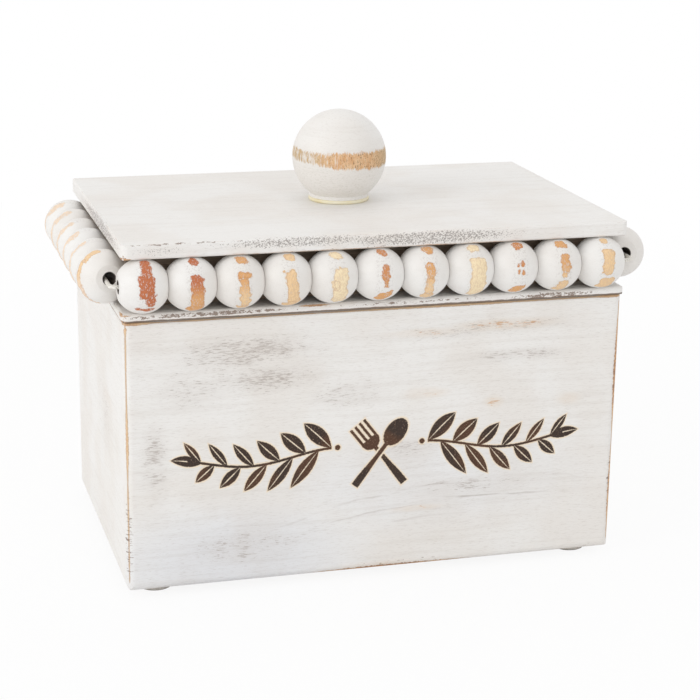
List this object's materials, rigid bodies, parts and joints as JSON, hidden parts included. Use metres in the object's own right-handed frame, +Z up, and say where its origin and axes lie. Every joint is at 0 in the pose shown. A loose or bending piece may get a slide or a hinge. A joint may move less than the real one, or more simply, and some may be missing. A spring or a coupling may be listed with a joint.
{
  "type": "recipe card box",
  "caption": "Whitewashed wooden recipe card box with a lift-off lid, a ball knob and a row of round beads held between the lid's two boards.",
  "frame": {"origin": "on the ground under the middle of the box", "axes": "+X along the front to the right, +Y from the front to the back, +Z up; the front faces -Y"},
  "size_m": [0.2326, 0.148, 0.1804],
  "materials": {
    "whitewashed_wood": "matt white paint rubbed through to the wood at the edges",
    "painted_ball": "matt white paint with a band rubbed bare round the middle",
    "painted_bead": "matt white paint with a band rubbed bare round the middle",
    "ring_wood": "cream painted wood",
    "bare_wood": "bare wood",
    "dark_wood": "dark stained wood",
    "foot_rubber": "pale matt rubber",
    "cord": "painted cotton cord",
    "steel": "plain steel"
  },
  "bodies": {
    "box": {"front_panel": "whitewashed_wood", "back_panel": "whitewashed_wood", "left_panel": "whitewashed_wood", "right_panel": "whitewashed_wood", "bottom_panel": "bare_wood", "corner_brads": "steel", "bottom_brads": "steel", "front_left_foot": "foot_rubber", "front_right_foot": "foot_rubber", "back_left_foot": "foot_rubber", "back_right_foot": "foot_rubber"},
    "lid": {"lower_board": "whitewashed_wood", "lid_core": "dark_wood", "top_board": "whitewashed_wood", "front_strip": "bare_wood", "back_strip": "bare_wood", "left_strip": "bare_wood", "right_strip": "bare_wood", "knob": "painted_ball", "knob_ring": "ring_wood", "knob_screw": "steel", "lid_brads": "steel", "bead_cord": "cord", "front_bead_1": "painted_bead", "front_bead_2": "painted_bead", "front_bead_3": "painted_bead", "front_bead_4": "painted_bead", "front_bead_5": "painted_bead", "front_bead_6": "painted_bead", "front_bead_7": "painted_bead", "front_bead_8": "painted_bead", "front_bead_9": "painted_bead", "front_bead_10": "painted_bead", "front_bead_11": "painted_bead", "back_bead_1": "painted_bead", "back_bead_2": "painted_bead", "back_bead_3": "painted_bead", "back_bead_4": "painted_bead", "back_bead_5": "painted_bead", "back_bead_6": "painted_bead", "back_bead_7": "painted_bead", "back_bead_8": "painted_bead", "back_bead_9": "painted_bead", "back_bead_10": "painted_bead", "back_bead_11": "painted_bead", "left_bead_1": "painted_bead", "left_bead_2": "painted_bead", "left_bead_3": "painted_bead", "left_bead_4": "painted_bead", "left_bead_5": "painted_bead", "left_bead_6": "painted_bead", "right_bead_1": "painted_bead", "right_bead_2": "painted_bead", "right_bead_3": "painted_bead", "right_bead_4": "painted_bead", "right_bead_5": "painted_bead", "right_bead_6": "painted_bead"}
  },
  "joints": [
    {"name": "lid_lift", "type": "slide", "parent": "box", "child": "lid", "axis": [0, 0, 1], "range_m": [0, 0.15]}
  ]
}
